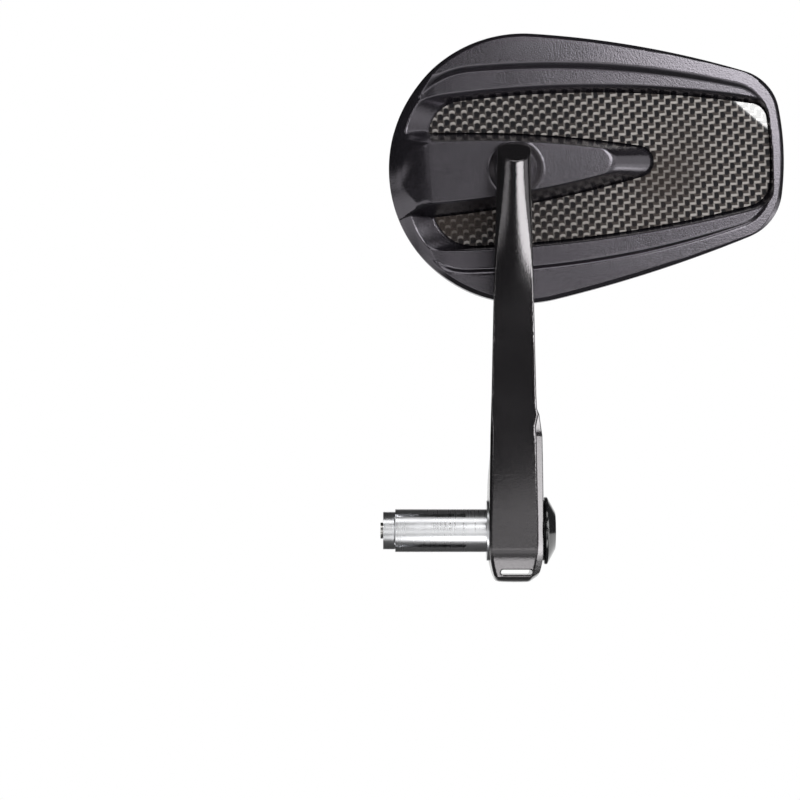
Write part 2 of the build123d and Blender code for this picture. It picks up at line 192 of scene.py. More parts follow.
# mirror head: every size in mm, u along it, v across it, h out of its back
ballPoint = Vector(next(j for j in frame["joints"] if j["name"] == "head_roll")["pos_m"])
headSizes = {
    "tilt": 2.0, "roll": 3.9, "ballDepth": 11.0,
    "rim": [(4.0, -0.4, 52.0), (86.0, 14.1, 17.98), (83.0, -13.4, 20.18)],  # u, v and radius of each corner
    "rimBulges": (372.0, 106.0, 528.0),  # radii of the wide arcs between the corners
    "wallTop": 9.8, "eave": 1.5, "roofSlope": 0.006, "crown": 0.0005, "crownStart": 30.0,
    "endDrop": 4.2, "endRun": (-27.0, -39.0), "tipDrop": 1.2, "tipRun": (90.0, 100.0),
    "step": [(-13.8, 8.7, 29.4), (85.0, 11.7, 14.1), (83.8, -13.2, 14.3), (-19.0, -13.9, 23.9)],
    "stepBulges": (360.0, 300.0, 375.0, 150.0), "stepSlope": 1.0, "plateau": 9.6,
    "floor": 5.3, "recessRise": 5.9,
    "floorCircles": [(-18.0, 13.7, 13.9), (92.5, 12.2, 7.0), (89.1, -11.1, 9.7), (-16.2, -13.2, 15.8)],
    "floorBulges": (423.0, 124.0, 495.0, 200.0),
    "mouthCircles": [(-33.5, 17.6, 12.3), (93.2, 15.5, 6.2), (91.6, -14.5, 8.3), (-34.4, -19.7, 10.8)],
    "mouthBulges": (425.0, 198.0, 509.0, 202.0),
    "bossLeft": (-50.0, -35.3), "bossHalf": (16.4, 12.0), "bossTip": (48.4, 34.2), "bossTipRadius": (6.0, 5.2),
    "bossBulge": (440.0, 370.0), "bossEndBulge": 900.0, "bossCorner": 2.0, "bossDrop": 0.5,
    "bossRise": 10.9, "bossTop": 17.0, "bossBevel": 0.25, "bevelStart": -32.2,
    "mouthRadius": 6.116, "mouthHeight": 15.444, "socket": 7.56, "socketTurn": (54.0, 90.0),
    "dishMiddle": (0.7, -0.9), "dishFloor": 7.7, "dishRadius": 10.4, "bead": 0.22, "beadWidth": 0.36,
    "lip": 2.2, "glassBend": 1400.0, "glassMiddle": (27.0, 0.0), "pocketDepth": 2.8, "glassProud": 1.0,
    "scoop": 5.0, "scoopRun": (-24.0, -38.0), "scoopShare": (0.2, 1.0), "scoopSide": (-6.0, 6.0),
    "roundEave": 0.08, "roundRidge": (0.9, 0.4), "ridgeRun": (88.0, 98.0),
    "endRidge": 2.5, "endRidgeRun": (-25.0, -33.0), "roundGroove": 0.45, "roundMouth": (1.5, 0.4),
    "roundFloor": 0.4, "roundFoot": 0.7, "roundBoss": 1.1, "roundSeam": 0.3, "roundDish": 0.25,
    "low": (-50.0, -54.0), "high": (106.0, 54.0), "fineEnd": -24.0,  # finer mesh from the low end to here
    "curveStep": 0.75, "fillStep": 2.4, "fineStep": 0.7, "pocketStep": 8.0, "pocketMargin": 3.0, "ringCount": 96,
    "crowding": 0.13, "rimGap": 0.08, "mouthGap": 0.15, "edgeStrip": 0.25, "weld": 0.004, "sharp": 35.0,
}
headFrame = (
    Matrix.Translation(ballPoint)
    @ Matrix.Rotation(radians(90 + headSizes["tilt"]), 4, "X")
    @ Matrix.Rotation(radians(headSizes["roll"]), 4, "Z")
    @ Matrix.Translation((0, 0, -headSizes["ballDepth"] * mm))
)


def wideCentre(a, b, bulge):
    gap = hypot(b[0] - a[0], b[1] - a[1])
    along = ((bulge - a[2]) ** 2 - (bulge - b[2]) ** 2 + gap ** 2) / (2 * gap)
    across = sqrt((bulge - a[2]) ** 2 - along ** 2)
    du, dv = (b[0] - a[0]) / gap, (b[1] - a[1]) / gap
    return a[0] + along * du + across * dv, a[1] + along * dv - across * du


class Belt:  # outline of corner circles joined by wide arcs, clockwise
    def __init__(self, circles, bulges):
        self.circles = circles
        self.bulges = bulges
        pairs = zip(circles, circles[1:] + circles[:1], bulges)
        self.wide = [wideCentre(a, b, bulge) for a, b, bulge in pairs]

    def turn(self, i):  # outward directions at both ends of corner i
        u, v, _ = self.circles[i]
        (u0, v0), (u1, v1) = self.wide[i - 1], self.wide[i]
        start = atan2(v - v0, u - u0)
        return start, start - (start - atan2(v - v1, u - u1)) % (2 * pi)

    def depth(self, u, v):  # distance inside the outline, negative outside
        found = np.full(np.broadcast(u, v).shape, np.inf)
        for (cu, cv), bulge in zip(self.wide, self.bulges):
            found = np.minimum(found, bulge - np.hypot(u - cu, v - cv))
        for i, (cu, cv, radius) in enumerate(self.circles):
            start, stop = self.turn(i)
            swept = (start - np.arctan2(v - cv, u - cu)) % (2 * pi)
            corner = radius - np.hypot(u - cu, v - cv)
            found = np.where(swept <= start - stop, np.minimum(found, corner), found)
        return found

    def trace(self, inset, step):  # the same number of points at every inset
        arcs = []
        for i, (cu, cv, radius) in enumerate(self.circles):
            start, stop = self.turn(i)
            arcs.append((cu, cv, radius, start, stop))
            begin = self.turn((i + 1) % len(self.circles))[0]
            arcs.append((*self.wide[i], self.bulges[i], stop, stop - (stop - begin) % (2 * pi)))
        points = []
        for cu, cv, radius, start, stop in arcs:
            count = max(2, ceil(radius * (start - stop) / step))
            for k in range(count):
                angle = start + (stop - start) * k / count
                reach = max(radius - inset, 0.05)
                points.append((cu + reach * cos(angle), cv + reach * sin(angle)))
        return np.array(points)


def between(ends, share):
    return ends[0] + (ends[1] - ends[0]) * share


def recessBelt(share):
    s = headSizes
    pairs = zip(s["floorCircles"], s["mouthCircles"])
    circles = [tuple(between(ends, share) for ends in zip(low, high)) for low, high in pairs]
    return Belt(circles, [between(ends, share) for ends in zip(s["floorBulges"], s["mouthBulges"])])


def bossBelt(share):
    corner, drop = headSizes["bossCorner"], headSizes["bossDrop"]
    u = between(headSizes["bossLeft"], share) + corner
    half = between(headSizes["bossHalf"], share) - corner
    tip = (between(headSizes["bossTip"], share), -drop, between(headSizes["bossTipRadius"], share))
    bulge = between(headSizes["bossBulge"], share)
    circles = [(u, half - drop, corner), tip, (u, -half - drop, corner)]
    return Belt(circles, (bulge, bulge, headSizes["bossEndBulge"]))


rimBelt = Belt(headSizes["rim"], headSizes["rimBulges"])
stepBelt = Belt(headSizes["step"], headSizes["stepBulges"])


def softMin(a, b, k):
    return np.minimum(a, b) - np.maximum(k - np.abs(a - b), 0) ** 2 / (4 * k)


def softMax(a, b, k):
    return -softMin(-a, -b, k)


def easedStep(x, ends):
    share = np.clip((x - ends[0]) / (ends[1] - ends[0]), 0, 1)
    return share * share * (3 - 2 * share)


def wallShare(u, v, beltAt, grows):  # how far up a sloped wall passes over each point
    shares = np.linspace(0, 1.1, 9)
    gaps = np.array([beltAt(t).depth(u, v) * grows for t in shares])
    k = np.clip((gaps < 0).sum(0), 1, len(shares) - 1)
    low = np.take_along_axis(gaps, k[None] - 1, 0)[0]
    high = np.take_along_axis(gaps, k[None], 0)[0]
    return shares[k - 1] - low * (shares[k] - shares[k - 1]) / np.maximum(high - low, 1e-6)


def wallTop(u):
    s = headSizes
    return s["wallTop"] - s["endDrop"] * easedStep(u, s["endRun"]) - s["tipDrop"] * easedStep(u, s["tipRun"])


def housingHeight(u, v):
    s = headSizes
    rim = rimBelt.depth(u, v)
    roof = s["wallTop"] + s["eave"] + (rim - s["eave"]) * s["roofSlope"]
    roof = roof - s["crown"] * np.maximum(u - s["crownStart"], 0) ** 2 / 2
    roof = softMin(wallTop(u) + rim, roof, s["roundEave"])
    fall = s["plateau"] - stepBelt.depth(u, v) * s["stepSlope"]
    tipEnd, broadEnd = easedStep(u, s["ridgeRun"]), easedStep(u, s["endRidgeRun"])
    ridge = between(s["roundRidge"], tipEnd) + s["endRidge"] * broadEnd
    band = softMin(roof, softMax(np.full_like(u, s["plateau"]), fall, s["roundGroove"]), ridge)
    scoop = s["scoop"] * easedStep(u, s["scoopRun"]) * between(s["scoopShare"], easedStep(v, s["scoopSide"]))
    share = wallShare(u, v, recessBelt, 1)
    wall = softMax(np.full_like(u, s["floor"]), s["floor"] + s["recessRise"] * share, s["roundFloor"])
    climb = wallShare(u, v, bossBelt, -1)
    slope = s["floor"] + s["bossRise"] * climb
    wall = softMax(wall, slope, s["roundFoot"] + scoop)
    back = softMin(band, wall, between(s["roundMouth"], np.maximum(tipEnd, broadEnd)))
    top = s["bossTop"] - s["bossBevel"] * np.maximum(s["bevelStart"] - u, 0)
    boss = softMin(top, slope, s["roundBoss"])
    back = softMax(back, softMin(boss, wallTop(u) + rim, s["roundEave"]), s["roundSeam"] + scoop)
    radius = np.hypot(u - s["dishMiddle"][0], v - s["dishMiddle"][1])
    cone = (s["bossTop"] - s["mouthHeight"]) / (s["dishRadius"] - s["dishFloor"])
    dish = np.full_like(u, s["mouthHeight"])
    dish = softMax(dish, s["mouthHeight"] + (radius - s["dishFloor"]) * cone, s["roundDish"])
    beads = sum(np.exp(-((radius - s[edge]) / s["beadWidth"]) ** 2) for edge in ("dishFloor", "dishRadius"))
    return softMin(back, dish, s["roundDish"]) + s["bead"] * beads


def surfaceNormals(u, v, height, reach=0.03):
    du = (height(u + reach, v) - height(u - reach, v)) / (2 * reach)
    dv = (height(u, v + reach) - height(u, v - reach)) / (2 * reach)
    normals = np.stack([-du, -dv, np.ones_like(u)], 1)
    return normals / np.linalg.norm(normals, axis=1)[:, None]


def circlePoints(radius, count):
    angles = -2 * pi * np.arange(count) / count
    return np.stack([radius * np.cos(angles), radius * np.sin(angles)], 1)


def thinned(points, cell):  # drops points that crowd an earlier one
    kept, seen = [], set()
    for u, v in points:
        key = (round(u / cell), round(v / cell))
        if key not in seen:
            seen.add(key)
            kept.append((u, v))
    return np.array(kept)


def hexGrid(low, high, step):  # rows of even triangles
    rows = np.arange(low[1], high[1], step * 0.866)
    columns = np.arange(low[0], high[0], step)
    return np.array([(u + (i % 2) * step / 2, v) for i, v in enumerate(rows) for u in columns])


def triangulated(loops, points, keep):  # triangles over points and closed loops
    fixed = np.concatenate(loops)
    edges, start = [], 0
    for loop in loops:
        edges += [(start + i, start + (i + 1) % len(loop)) for i in range(len(loop))]
        start += len(loop)
    flat = [Vector((float(u), float(v))) for u, v in np.concatenate([fixed, points])]
    verts, _, faces = delaunay_2d_cdt(flat, edges, [], 0, 1e-5)[:3]
    spots = np.array([tuple(v) for v in verts])
    faces = np.array([f for f in faces if len(f) == 3])
    middle = spots[faces].mean(1)
    return spots, faces[keep(middle[:, 0], middle[:, 1])]


def housingPoints(step):  # close together where the back bends
    s = headSizes
    rimInsets = (0.12, 0.3, 0.5, 0.75, 1.0, 1.3, 1.8, 2.6)
    recessShares = (-0.02, 0.05, 0.1, 0.2, 0.35, 0.5, 0.6, 0.66, 0.7, 0.74, 0.78, 0.82, 0.86, 0.9, 0.96, 1.04)
    bossShares = (-0.06, 0.0, 0.05, 0.1, 0.2, 0.35, 0.5, 0.65, 0.8, 0.9, 0.95, 0.98, 1.01, 1.04, 1.07, 1.1, 1.14, 1.2)
    curves = [rimBelt.trace(inset, step) for inset in rimInsets]
    curves += [stepBelt.trace(inset, step) for inset in np.arange(-4.4, 1.0, 0.3)]
    curves += [recessBelt(share).trace(0, step) for share in recessShares]
    curves += [bossBelt(share).trace(0, step) for share in bossShares]
    rings = [s[edge] + d for edge in ("dishFloor", "dishRadius") for d in np.arange(-0.9, 0.95, 0.15)]
    curves += [circlePoints(r, s["ringCount"]) + s["dishMiddle"] for r in rings]
    curves.append(hexGrid(s["low"], (s["fineEnd"], s["high"][1]), s["fineStep"]))
    curves.append(hexGrid(s["low"], s["high"], s["fillStep"]))
    points = thinned(np.concatenate(curves), s["crowding"])
    u, v = points.T
    return points[(rimBelt.depth(u, v) > s["rimGap"]) & (np.hypot(u, v) > s["mouthRadius"] + s["mouthGap"])]


def pocketHeight(u, v):
    s = headSizes
    middle = s["glassMiddle"]
    spread = (u - middle[0]) ** 2 + (v - middle[1]) ** 2
    return s["glassBend"] - s["glassProud"] - np.sqrt((s["glassBend"] - s["pocketDepth"]) ** 2 - spread)


def plainObject(name, verts, faces, finish, normals=None, sharp=None):
    mesh = bpy.data.meshes.new(name)
    mesh.from_pydata([tuple(v) for v in verts], [], [tuple(int(i) for i in f) for f in faces])
    mesh.validate()
    mesh.shade_smooth()
    if sharp is not None:
        mesh.set_sharp_from_angle(angle=radians(sharp))
    if normals is not None:
        mesh.normals_split_custom_set_from_vertices([tuple(n) for n in normals])
    mesh.materials.append(finish)
    return placed(name, mesh)


def weldedShell(verts, normals, faces):  # joins equal points and keeps the known normals
    mesh = bpy.data.meshes.new("shell")
    mesh.from_pydata(verts * mm, [], faces)
    work = bmesh.new()
    work.from_mesh(mesh)
    layer = work.verts.layers.float_vector.new("shape")
    for vert, normal in zip(work.verts, normals):
        vert[layer] = normal
    bmesh.ops.remove_doubles(work, verts=work.verts, dist=headSizes["weld"] * mm)
    bmesh.ops.recalc_face_normals(work, faces=work.faces)
    openEdges = sum(1 for edge in work.edges if not edge.is_manifold)
    turn = headFrame.to_3x3()
    points = [tuple(headFrame @ vert.co) for vert in work.verts]
    known = [tuple(turn @ vert[layer]) for vert in work.verts]
    work.verts.index_update()
    welded = [[vert.index for vert in face.verts] for face in work.faces]
    work.free()
    bpy.data.meshes.remove(mesh)
    print("housing shell:", len(points), "points,", len(welded), "faces,", openEdges, "open edges")
    return points, welded, known


def housingShell():
    s = headSizes
    edge = rimBelt.trace(0, s["curveStep"])
    mouth = circlePoints(s["mouthRadius"], s["ringCount"])

    def onBack(u, v):
        return np.hypot(u, v) > s["mouthRadius"]

    spots, faces = triangulated([edge, mouth], housingPoints(s["curveStep"]), onBack)
    u, v = spots.T
    verts = [np.stack([u, v, housingHeight(u, v)], 1)]
    normals = [surfaceNormals(u, v, housingHeight)]
    tris = [faces]
    quads = []
    total = len(spots)

    def addRings(rings):  # closed strips between rings of equal length
        nonlocal total
        for ring in rings:
            verts.append(ring)
            normals.append(np.zeros_like(ring))
        n = len(rings[0])
        for k in range(len(rings) - 1):
            a = total + k * n + np.arange(n)
            b = total + k * n + (np.arange(n) + 1) % n
            quads.append(np.stack([a, b, b + n, a + n], 1))
        total += n * len(rings)

    def rimRing(inset, height):
        flat = rimBelt.trace(inset, s["curveStep"])
        return np.column_stack([flat, np.broadcast_to(height, len(flat))])

    outside = [(0, 3.4), (0, 1.2), (0.08, 0.75), (0.28, 0.36), (0.55, 0.1), (0.85, 0.0)]  # inset and height
    lip = [(1.6, 0.0), (2.02, 0.0), (2.14, 0.06), (s["lip"], 0.2)]
    edgeHeight = housingHeight(*edge.T)
    rings = [rimRing(0, edgeHeight), rimRing(0, edgeHeight - s["edgeStrip"])]
    rings += [rimRing(inset, height) for inset, height in outside + lip]
    pocketEdge = rimBelt.trace(s["lip"], s["curveStep"])
    rings.append(rimRing(s["lip"], pocketHeight(*pocketEdge.T)))
    addRings(rings)
    bowl = [(s["mouthRadius"], housingHeight(*mouth.T))]
    for angle in np.linspace(*s["socketTurn"], 9)[1:]:
        bowl.append((s["socket"] * sin(radians(angle)), s["ballDepth"] + s["socket"] * cos(radians(angle))))
    hole = circlePoints(s["socket"], s["ringCount"])
    bowl.append((s["socket"], pocketHeight(*hole.T)))
    rings = []
    for radius, height in bowl:
        flat = circlePoints(radius, s["ringCount"])
        rings.append(np.column_stack([flat, np.broadcast_to(height, len(flat))]))
    addRings(rings)

    def onPocket(u, v):
        return np.hypot(u, v) > s["socket"]

    fill, margin = hexGrid(s["low"], s["high"], s["pocketStep"]), s["pocketMargin"]
    fill = fill[(rimBelt.depth(*fill.T) > s["lip"] + margin) & (np.hypot(*fill.T) > s["socket"] + margin)]
    spots, faces = triangulated([pocketEdge, hole], fill, onPocket)
    verts.append(np.stack([*spots.T, pocketHeight(*spots.T)], 1))
    normals.append(np.zeros((len(spots), 3)))
    tris.append(faces + total)

    allFaces = [face for block in tris + quads for face in block.tolist()]
    points, welded, known = weldedShell(np.concatenate(verts), np.concatenate(normals), allFaces)
    return plainObject("housing_shell", points, welded, headSatin, known, s["sharp"])


shell = housingShell()
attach(shell, "head")
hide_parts("mirror_housing")


# arm: one distance field, x from the middle of its width, y to the rear, z up, all in mm
armSizes = {
    "middle": 10.7, "half": 10.3,
    "rightShoulder": [(7.6, 45.0), (8.5, 42.8), (9.7, 35.0)], "leftShoulder": [(-9.35, 45.0), (-9.7, 35.0)],
    "neckTop": 47.0, "frontCurve": [(-13.69, 26.0), (-14.5, 5.0)],
    "creaseCurve": [(-14.63, -6.0), (-14.40, -8.84), (-13.69, -11.43)], "toe": (-11.6, -17.2),
    "rear": 15.0, "crease": 8.8, "heel": 12.0,
    "chamfers": (0.9, 2.6), "chamferRun": (46.0, 36.0), "chamferSide": (-3.0, 3.0),  # left and right front edges
    "footStart": 3.5, "footHalf": 7.6, "footDrop": 18.9, "footBow": 0.5, "footSteps": 8,
    "slotTop": 14.3, "slotHeight": 1.9, "slotHalf": 5.75, "slotCorner": 0.8,
    "shaftStart": 30.0, "shaftEnd": 150.0, "shaftTop": 146.0, "topCorner": 9.0,
    "shaftHalf": (8.7, 6.2), "shaftFront": (-13.8, 1.2), "shaftRear": (5.0, 14.4), "shaftLean": (-0.9, 0.1),
    "corner": (0.35, 3.0), "cornerRun": (88.0, 138.0), "bow": 2.3, "bowRun": (80.0, 139.0),
    "skew": 0.07, "skewRun": (-6.0, 60.0), "draft": 0.04, "draftRun": (16.0, 34.0),
    "ballHeight": 139.5, "ballSide": 0.72, "padCut": 0.28, "padRadius": 5.4,
    "facetHeight": 139.5, "facetInset": 0.9,
    "bore": 8.08, "seatRadius": 11.5, "innerSeat": 2.9, "outerSeat": 20.0,
    "roundEdge": 0.4, "roundTop": 0.8, "roundSole": 0.8, "roundHole": 0.35, "roundPad": 0.2, "voxel": 0.5,
}


def arcThrough(start, middle, stop, count):
    (ax, ay), (bx, by), (cx, cy) = start, middle, stop
    d = 2 * (ax * (by - cy) + bx * (cy - ay) + cx * (ay - by))
    squares = [ax * ax + ay * ay, bx * bx + by * by, cx * cx + cy * cy]
    ox = (squares[0] * (by - cy) + squares[1] * (cy - ay) + squares[2] * (ay - by)) / d
    oy = (squares[0] * (cx - bx) + squares[1] * (ax - cx) + squares[2] * (bx - ax)) / d
    angles = [atan2(y - oy, x - ox) for x, y in (start, middle, stop)]
    total = (angles[2] - angles[0]) % (2 * pi)
    if (angles[1] - angles[0]) % (2 * pi) > total:
        total -= 2 * pi
    radius = hypot(ax - ox, ay - oy)
    turns = [angles[0] + total * k / count for k in range(count + 1)]
    return [(ox + radius * cos(t), oy + radius * sin(t)) for t in turns]


def outlineDistance(x, y, corners):  # negative inside a closed outline
    near = np.full(np.broadcast(x, y).shape, np.inf)
    inside = np.zeros(near.shape, bool)
    for (ax, ay), (bx, by) in zip(corners, corners[1:] + corners[:1]):
        ex, ey = bx - ax, by - ay
        t = np.clip(((x - ax) * ex + (y - ay) * ey) / (ex * ex + ey * ey), 0, 1)
        near = np.minimum(near, (x - ax - t * ex) ** 2 + (y - ay - t * ey) ** 2)
        if abs(ey) > 1e-9:
            crosses = ((ay > y) != (by > y)) & (x < ax + (y - ay) * ex / ey)
            inside = inside ^ crosses
    return np.where(inside, -1, 1) * np.sqrt(near)


def shaftAt(z):  # sideways shift, half width, front and rear
    s = armSizes
    rise = (z - s["shaftStart"]) / (s["shaftEnd"] - s["shaftStart"])
    shift = between(s["shaftLean"], rise ** 2)
    return shift, *(between(s[side], rise) for side in ("shaftHalf", "shaftFront", "shaftRear"))


def armOutlines():  # seen from the front, then from the side
    s = armSizes
    curlReach = s["half"] - s["footHalf"]
    curlDrop = s["footDrop"] - s["footStart"]
    curl = (curlReach ** 2 + curlDrop ** 2) / (2 * curlReach)  # radius that starts straight down
    foot = []
    for k in range(s["footSteps"] + 3):  # runs on past the sole
        drop = curlDrop * k / s["footSteps"]
        foot.append((s["half"] - curl + sqrt(curl ** 2 - drop ** 2), -s["footStart"] - drop))
    heights = np.linspace(s["shaftEnd"], 50, 14)
    levels = [(*shaftAt(z)[:2], z) for z in heights]
    right = [(shift + half, z) for shift, half, z in levels] + s["rightShoulder"] + [(s["half"], 0)] + foot
    left = [(shift - half, z) for shift, half, z in levels] + s["leftShoulder"] + [(-s["half"], 0)]
    left += [(-x, z) for x, z in foot]
    _, _, neckFront, neckRear = shaftAt(s["neckTop"])
    front = arcThrough((neckFront, s["neckTop"]), *s["frontCurve"], 24)
    depth = s["rear"] + s["creaseCurve"][0][0]  # twice the middle of the foot
    bottom, rearToe = (depth / 2, -s["footDrop"] - s["footBow"]), (depth - s["toe"][0], s["toe"][1])
    belly = arcThrough(*s["creaseCurve"], 8) + arcThrough(s["toe"], bottom, rearToe, 28) + [(s["rear"], -s["crease"])]
    _, _, topFront, topRear = shaftAt(s["shaftEnd"])
    heel = [(s["rear"], s["heel"]), (neckRear, s["neckTop"]), (topRear, s["shaftEnd"])]
    return right + left[::-1], [(topFront, s["shaftEnd"]), *front, *belly, *heel]


def cornered(qx, qy, corner):  # distance to a rounded corner, from offsets past its centre
    return np.hypot(np.maximum(qx, 0), np.maximum(qy, 0)) + np.minimum(np.maximum(qx, qy), 0) - corner


armFace, armSide = armOutlines()


def armDistance(x, y, z):
    s = armSizes
    shift, half, front, rear = shaftAt(z)
    middle = (front + rear) / 2
    ahead = np.clip((middle - y) / (middle - front), 0, 1)  # 1 on the front face
    swept = s["bow"] * easedStep(z, s["bowRun"]) * ((x - shift) / half) ** 2
    swept = swept - s["skew"] * easedStep(z, s["skewRun"]) * (x - shift)
    draft = s["draft"] * easedStep(z, s["draftRun"]) * np.clip(y - front, 0, None) * (x < 0)
    face, side = outlineDistance(x - draft, z, armFace), outlineDistance(y - swept * ahead, z, armSide)
    corner = between(s["corner"], easedStep(z, s["cornerRun"]))
    shaft = cornered(face + corner, side + corner, corner)
    chamfer = between(s["chamfers"], easedStep(x, s["chamferSide"])) * easedStep(z, s["chamferRun"])
    shaft = softMax(shaft, (face + side + chamfer) * sqrt(0.5), s["roundEdge"])
    sole = -z - s["footDrop"] - s["footBow"] * (1 - (x / s["footHalf"]) ** 2)
    shaft = softMax(shaft, sole, s["roundSole"])
    topShift = shaftAt(np.array(s["ballHeight"]))[0]
    pastX, pastZ = np.abs(x - topShift) - s["half"], z - s["shaftTop"]
    top = cornered(pastX + s["topCorner"], pastZ + s["topCorner"], s["topCorner"])
    shaft = softMax(shaft, top, s["roundTop"])
    facetY = shaftAt(np.array(s["facetHeight"]))[2] + s["facetInset"]
    body = softMax(shaft, (facetY - y + z - s["facetHeight"]) * sqrt(0.5), s["roundHole"])
    around = np.hypot(y, z)
    along = x + s["middle"]
    body = softMax(body, s["bore"] - around, s["roundHole"])
    body = softMax(body, -np.maximum(around - s["seatRadius"], along - s["innerSeat"]), s["roundHole"])
    body = softMax(body, -np.maximum(around - s["seatRadius"], s["outerSeat"] - along), s["roundHole"])
    slotMiddle = -s["slotTop"] - s["slotHeight"] / 2
    pastX, pastZ = np.abs(x) - s["slotHalf"], np.abs(z - slotMiddle) - s["slotHeight"] / 2
    slot = cornered(pastX + s["slotCorner"], pastZ + s["slotCorner"], s["slotCorner"])
    body = softMax(body, -slot, s["roundHole"])
    padDepth = shaftAt(np.array(s["ballHeight"]))[3] - s["padCut"]
    pad = np.maximum(np.hypot(x - s["ballSide"], z - s["ballHeight"]) - s["padRadius"], padDepth - y)
    return softMax(body, -pad, s["roundPad"])


def fieldGradient(field, p, reach=0.02):
    parts = []
    for axis in range(3):
        step = np.zeros(3)
        step[axis] = reach
        parts.append((field(*(p + step).T) - field(*(p - step).T)) / (2 * reach))
    return np.stack(parts, 1)


def skinOf(field, low, high, voxel):  # closed skin of a distance field, one point in each crossed cell
    axes = [np.arange(a - 1.5 * voxel, b + 1.5 * voxel, voxel) for a, b in zip(low, high)]
    x, y, z = np.meshgrid(*axes, indexing="ij", sparse=True)
    grid = field(x, y, z)
    shape = np.array(grid.shape)
    corners = [(i, j, k) for i in (0, 1) for j in (0, 1) for k in (0, 1)]

    def shifted(i, j, k):
        return grid[i:shape[0] - 1 + i, j:shape[1] - 1 + j, k:shape[2] - 1 + k]

    count = sum((shifted(*c) < 0).astype(int) for c in corners)
    active = (count > 0) & (count < 8)
    cells = np.argwhere(active)
    values = {c: shifted(*c)[active] for c in corners}
    total, hits = np.zeros((len(cells), 3)), np.zeros(len(cells))
    for a in corners:
        for axis in range(3):
            if a[axis]:
                continue
            b = tuple(1 if k == axis else a[k] for k in range(3))
            crossed = (values[a] < 0) != (values[b] < 0)
            t = np.where(crossed, values[a] / np.where(crossed, values[a] - values[b], 1), 0)
            spot = np.repeat(np.array(a, float)[None], len(cells), 0)
            spot[:, axis] += t
            total += spot * crossed[:, None]
            hits += crossed
    points = np.array([a[0] for a in axes]) + (cells + total / hits[:, None]) * voxel
    for _ in range(3):  # settle on the surface
        slope = fieldGradient(field, points)
        points -= slope * (field(*points.T) / np.maximum((slope ** 2).sum(1), 1e-6))[:, None]
    number = np.full(active.shape, -1)
    number[active] = np.arange(len(cells))
    faces = []
    for axis in range(3):
        other = [k for k in range(3) if k != axis]
        inner = [slice(1, n - 1) for n in shape]
        inner[axis] = slice(0, shape[axis] - 1)
        ahead = list(inner)
        ahead[axis] = slice(1, shape[axis])
        here, there = grid[tuple(inner)] < 0, grid[tuple(ahead)] < 0
        spots = np.argwhere(here != there)
        outward = here[tuple(spots.T)]
        spots[:, other] += 1
        quad = []
        for da, db in ((0, 0), (1, 0), (1, 1), (0, 1)):
            cell = spots.copy()
            cell[:, other[0]] -= da
            cell[:, other[1]] -= db
            quad.append(number[tuple(cell.T)])
        quad = np.stack(quad, 1)
        flip = outward if axis != 1 else ~outward
        quad[~flip] = quad[~flip][:, ::-1]
        faces.append(quad)
    normals = fieldGradient(field, points)
    normals /= np.linalg.norm(normals, axis=1)[:, None]
    return points, np.concatenate(faces), normals


def armBody():
    s = armSizes
    low = (-s["half"], s["creaseCurve"][0][0] - 1, -s["footDrop"] - s["footBow"])
    high = (s["half"], s["rear"], s["shaftTop"])
    points, faces, normals = skinOf(armDistance, low, high, s["voxel"])
    points[:, 0] += s["middle"]
    print("arm body:", len(points), "points,", len(faces), "faces")
    return plainObject("arm_body", points * mm, faces, armSatin, normals)


arm = armBody()
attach(arm, "arm")
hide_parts("arm")


# end cap: its outline, with rounded corners, turned about the bar
capSizes = {
    "outline": [(3.3, 15.3), (6.3, 15.3), (6.3, 20.7), (11.2, 20.7), (11.2, 21.3), (12.6, 21.3), (12.6, 22.5),
                (7.1, 25.5), (5.3, 25.5), (5.3, 17.5), (3.3, 17.5)],
    "path": 8.0, "fillet": 0.5, "filletSteps": 4, "turnSteps": 96, "sharp": 28.0,
}
capLook = {
    "shine": {"Coat Weight": 0.6, "Coat Roughness": 0.04, "Specular IOR Level": 0.6}, "cloud": 120.0,
    "dark": (0.003, 0.003, 0.0035, 1), "light": (0.009, 0.009, 0.010, 1), "roughness": 0.1, "roughPatches": 0.1,
}


def glossBlack(look):
    finish, shader, place = newFinish("glossBlack", look["shine"])
    cloud = place.noise(look["cloud"])
    cloud.tint(look["dark"], look["light"]).feeds(shader, "Base Color")
    (look["roughness"] + cloud * look["roughPatches"]).feeds(shader, "Roughness")
    return finish


def latheTree(finish):  # sweeps a rounded outline round a circle
    tree = bpy.data.node_groups.new("lathe", "GeometryNodeTree")
    kinds = {"Path": "Float", "Fillet": "Float", "Fillet Steps": "Int", "Turn Steps": "Int"}
    face = tree.interface
    face.new_socket("Geometry", in_out="INPUT", socket_type="NodeSocketGeometry")
    for name, kind in kinds.items():
        face.new_socket(name, in_out="INPUT", socket_type="NodeSocket" + kind)
    face.new_socket("Geometry", in_out="OUTPUT", socket_type="NodeSocketGeometry")
    wire = Wire(tree)
    outline, path, fillet, filletSteps, turnSteps = (
        wire.node("NodeGroupInput", out=name) for name in ("Geometry", *kinds))
    values = {"Curve": outline, "Radius": fillet, "Count": filletSteps, "Limit Radius": True}
    rounded = wire.node("GeometryNodeFilletCurve", {"mode": "POLY"}, values)
    circle = wire.node("GeometryNodeCurvePrimitiveCircle", {}, {"Resolution": turnSteps, "Radius": path})
    swept = wire.node("GeometryNodeCurveToMesh", {}, {"Curve": circle, "Profile Curve": rounded})
    outward = wire.node("GeometryNodeFlipFaces", {}, {"Mesh": swept})
    upright = wire.node("GeometryNodeTransform", {}, {"Geometry": outward, "Rotation": Euler((0, pi / 2, 0))})
    solid = wire.node("GeometryNodeRealizeInstances", {}, {0: upright})
    coated = wire.node("GeometryNodeSetMaterial", {}, {"Geometry": solid, "Material": finish})
    coated.feeds(tree.nodes.new("NodeGroupOutput"), "Geometry")
    return tree


